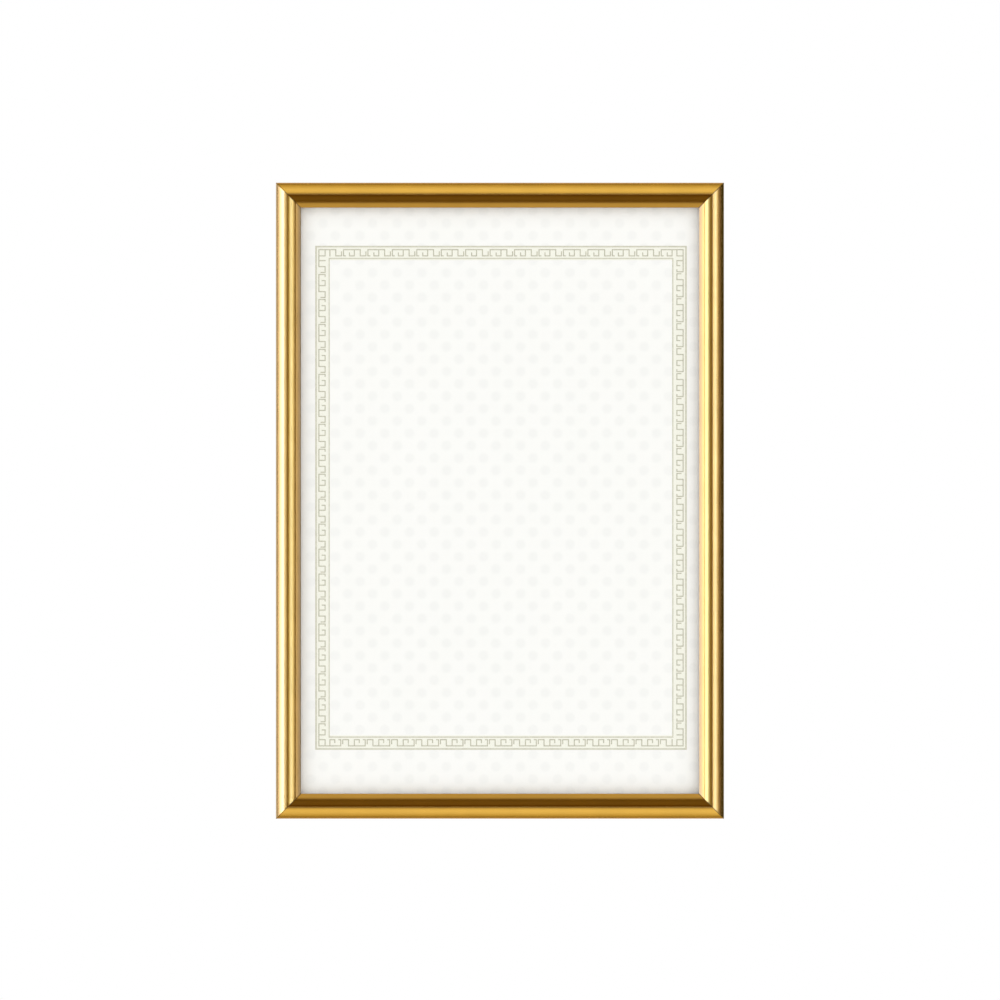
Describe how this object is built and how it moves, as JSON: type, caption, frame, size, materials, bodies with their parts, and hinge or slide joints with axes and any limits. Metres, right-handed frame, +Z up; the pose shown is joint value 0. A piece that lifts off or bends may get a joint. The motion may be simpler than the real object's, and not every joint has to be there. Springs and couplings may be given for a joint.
{
  "type": "certificate frame",
  "caption": "Upright gold certificate frame with a beaded mitred moulding, clear pane, bordered blank sheet, turn-button back board, hanging plates and folding strut.",
  "frame": {"origin": "centre of the portrait hanging plate's eye, on the plate's back face", "axes": "+X to the right seen from the front, +Y out of the back towards the wall, +Z up"},
  "size_m": [0.224, 0.0185, 0.318],
  "materials": {
    "gold_moulding": "gold foil, satin gloss",
    "clear_pane": "clear",
    "certificate_paper": "smooth warm white",
    "grey_card": "matt",
    "hardboard": "smooth pressed fibre",
    "nickel_plate": "nickel plated",
    "zinc_steel": "zinc plated",
    "brass_plate": "brass plated, stamped"
  },
  "bodies": {
    "frame": {"top_rail": "gold_moulding", "bottom_rail": "gold_moulding", "left_rail": "gold_moulding", "right_rail": "gold_moulding", "corner_nail_top_left": "zinc_steel", "corner_nail_top_right": "zinc_steel", "corner_nail_bottom_left": "zinc_steel", "corner_nail_bottom_right": "zinc_steel", "glazing_pane": "clear_pane", "certificate_sheet": "certificate_paper", "spacer_card": "grey_card", "back_board": "hardboard", "button_screws": "zinc_steel", "hanger_portrait": "brass_plate", "hanger_landscape": "brass_plate", "board_rivets": "nickel_plate", "strut_hinge_fixed_leaf": "brass_plate", "strut_hinge_pin": "zinc_steel"},
    "button_left_upper": {"turn_button_left_upper": "nickel_plate"},
    "button_left_lower": {"turn_button_left_lower": "nickel_plate"},
    "button_right_upper": {"turn_button_right_upper": "nickel_plate"},
    "button_right_lower": {"turn_button_right_lower": "nickel_plate"},
    "button_top": {"turn_button_top": "nickel_plate"},
    "button_bottom": {"turn_button_bottom": "nickel_plate"},
    "strut": {"strut_board": "hardboard", "strut_hinge_moving_leaf": "brass_plate", "strut_rivets": "nickel_plate"}
  },
  "joints": [
    {"name": "turn_left_upper", "type": "hinge", "parent": "frame", "child": "button_left_upper", "pos_m": [-0.10875, -0.002, -0.0475], "axis": [0, 1, 0], "continuous": true},
    {"name": "turn_left_lower", "type": "hinge", "parent": "frame", "child": "button_left_lower", "pos_m": [-0.10875, -0.002, -0.2175], "axis": [0, 1, 0], "continuous": true},
    {"name": "turn_right_upper", "type": "hinge", "parent": "frame", "child": "button_right_upper", "pos_m": [0.10875, -0.002, -0.0475], "axis": [0, 1, 0], "continuous": true},
    {"name": "turn_right_lower", "type": "hinge", "parent": "frame", "child": "button_right_lower", "pos_m": [0.10875, -0.002, -0.2175], "axis": [0, 1, 0], "continuous": true},
    {"name": "turn_top", "type": "hinge", "parent": "frame", "child": "button_top", "pos_m": [0, -0.002, 0.02325], "axis": [0, 1, 0], "continuous": true},
    {"name": "turn_bottom", "type": "hinge", "parent": "frame", "child": "button_bottom", "pos_m": [0, -0.002, -0.28825], "axis": [0, 1, 0], "continuous": true},
    {"name": "strut_fold", "type": "hinge", "parent": "frame", "child": "strut", "pos_m": [0, -0.0001, -0.0765], "axis": [1, 0, 0], "range_deg": [0, 30]}
  ]
}
